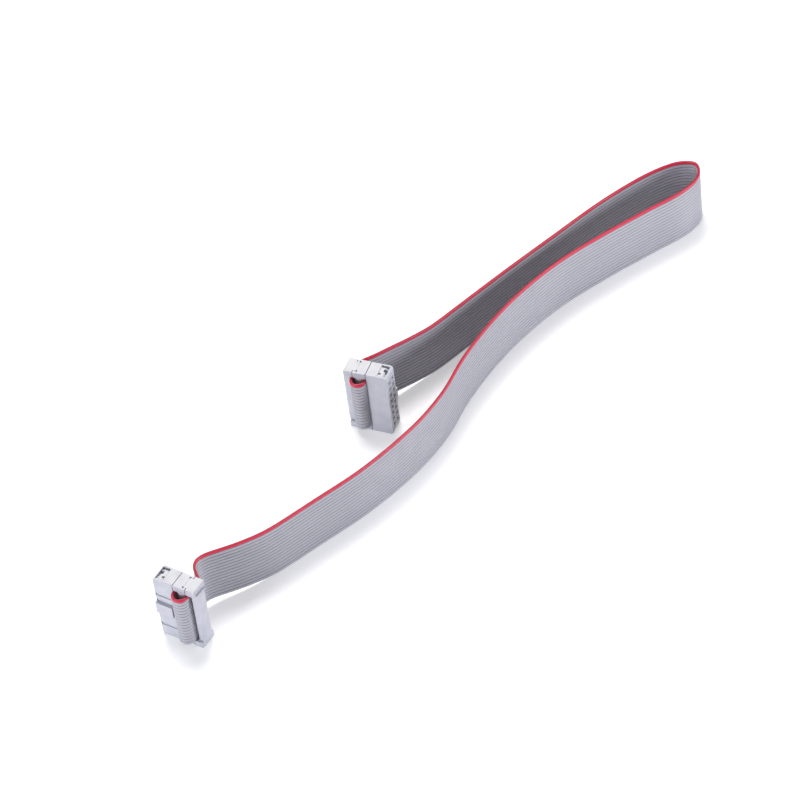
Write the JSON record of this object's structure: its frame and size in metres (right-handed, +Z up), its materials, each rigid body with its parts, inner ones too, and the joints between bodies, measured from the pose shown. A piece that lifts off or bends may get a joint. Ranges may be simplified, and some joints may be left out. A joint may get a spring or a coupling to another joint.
{
  "type": "ribbon cable",
  "caption": "Flat grey ribbon cable with a red edge wire and a two-row crimped-on socket on each end, bent into a long U.",
  "frame": {"origin": "middle of the narrow end on which the first socket stands", "axes": "+X along the cable from the sockets to the bend, +Y across it, +Z up, along the standing sockets and the ribbon's width"},
  "size_m": [0.2449, 0.0436, 0.0249],
  "materials": {
    "ribbon_jacket": "satin",
    "socket_plastic": "matte",
    "contact_metal": "satin"
  },
  "bodies": {
    "root": {"ribbon": "ribbon_jacket", "socket_a_body": "socket_plastic", "socket_a_cover": "socket_plastic", "socket_a_strain_relief": "socket_plastic", "socket_b_body": "socket_plastic", "socket_b_cover": "socket_plastic", "socket_b_strain_relief": "socket_plastic", "contact_a1": "contact_metal", "contact_a2": "contact_metal", "contact_a3": "contact_metal", "contact_a4": "contact_metal", "contact_a5": "contact_metal", "contact_a6": "contact_metal", "contact_a7": "contact_metal", "contact_a8": "contact_metal", "contact_a9": "contact_metal", "contact_a10": "contact_metal", "contact_a11": "contact_metal", "contact_a12": "contact_metal", "contact_a13": "contact_metal", "contact_a14": "contact_metal", "contact_a15": "contact_metal", "contact_a16": "contact_metal", "contact_b1": "contact_metal", "contact_b2": "contact_metal", "contact_b3": "contact_metal", "contact_b4": "contact_metal", "contact_b5": "contact_metal", "contact_b6": "contact_metal", "contact_b7": "contact_metal", "contact_b8": "contact_metal", "contact_b9": "contact_metal", "contact_b10": "contact_metal", "contact_b11": "contact_metal", "contact_b12": "contact_metal", "contact_b13": "contact_metal", "contact_b14": "contact_metal", "contact_b15": "contact_metal", "contact_b16": "contact_metal"}
  },
  "joints": []
}
